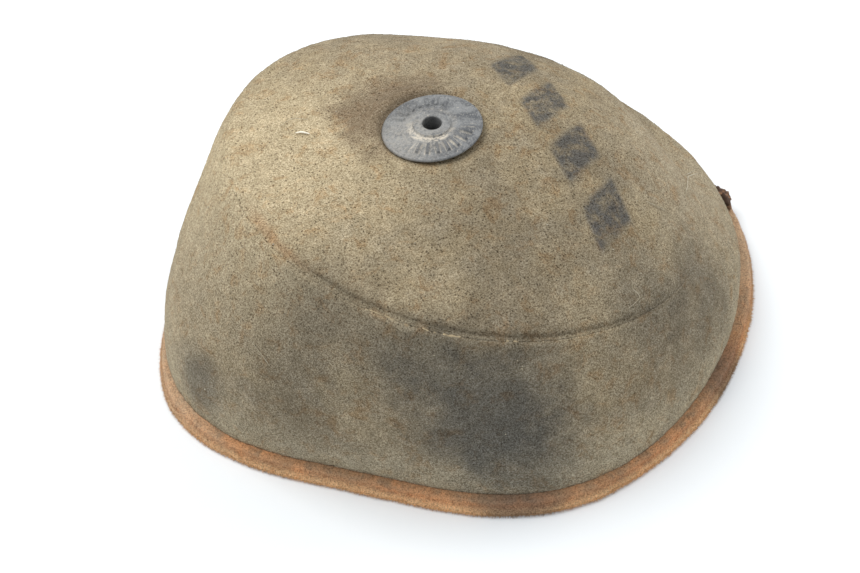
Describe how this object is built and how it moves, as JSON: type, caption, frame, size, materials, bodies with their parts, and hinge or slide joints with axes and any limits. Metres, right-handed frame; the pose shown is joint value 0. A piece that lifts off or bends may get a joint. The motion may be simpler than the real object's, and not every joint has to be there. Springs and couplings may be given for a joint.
{
  "type": "air filter",
  "caption": "Dual-stage domed foam air filter sock on a ribbed plastic support cage, held by one central bolt through a crown washer and sealing on a flat foam rim.",
  "frame": {"origin": "middle of the sealing rim's bounding rectangle, on the flat sealing plane under the rim", "axes": "+Z out of the airbox, along the bolt; +X in the mirror plane, from the tall narrow end to the low wide end"},
  "size_m": [0.227, 0.2088, 0.0894],
  "materials": {
    "coarse_foam": "matte",
    "fine_foam": "matte",
    "rim_foam": "matte",
    "foam_glue": "satin",
    "washer_plastic": "satin",
    "cage_plastic": "satin",
    "collar_steel": "zinc plated"
  },
  "bodies": {
    "support_cage": {"cage_base_ring": "cage_plastic", "cage_wall_ribs": "cage_plastic", "cage_low_hoop": "cage_plastic", "cage_high_hoop": "cage_plastic", "cage_shoulder_hoop": "cage_plastic", "cage_crown_ribs": "cage_plastic", "cage_crown_ring": "cage_plastic", "cage_boss": "cage_plastic", "bolt_collar": "collar_steel"},
    "foam_element": {"outer_foam_wall": "coarse_foam", "outer_foam_crown": "coarse_foam", "inner_foam_wall": "fine_foam", "inner_foam_crown": "fine_foam", "sealing_rim": "rim_foam", "rim_glue_seam": "foam_glue", "crown_glue_seam": "foam_glue", "wall_end_glue_seam": "foam_glue", "outer_washer": "washer_plastic", "inner_washer": "washer_plastic"}
  },
  "joints": [
    {"name": "element_lift", "type": "slide", "parent": "support_cage", "child": "foam_element", "axis": [0, 0, 1], "range_m": [0, 0.11]}
  ]
}
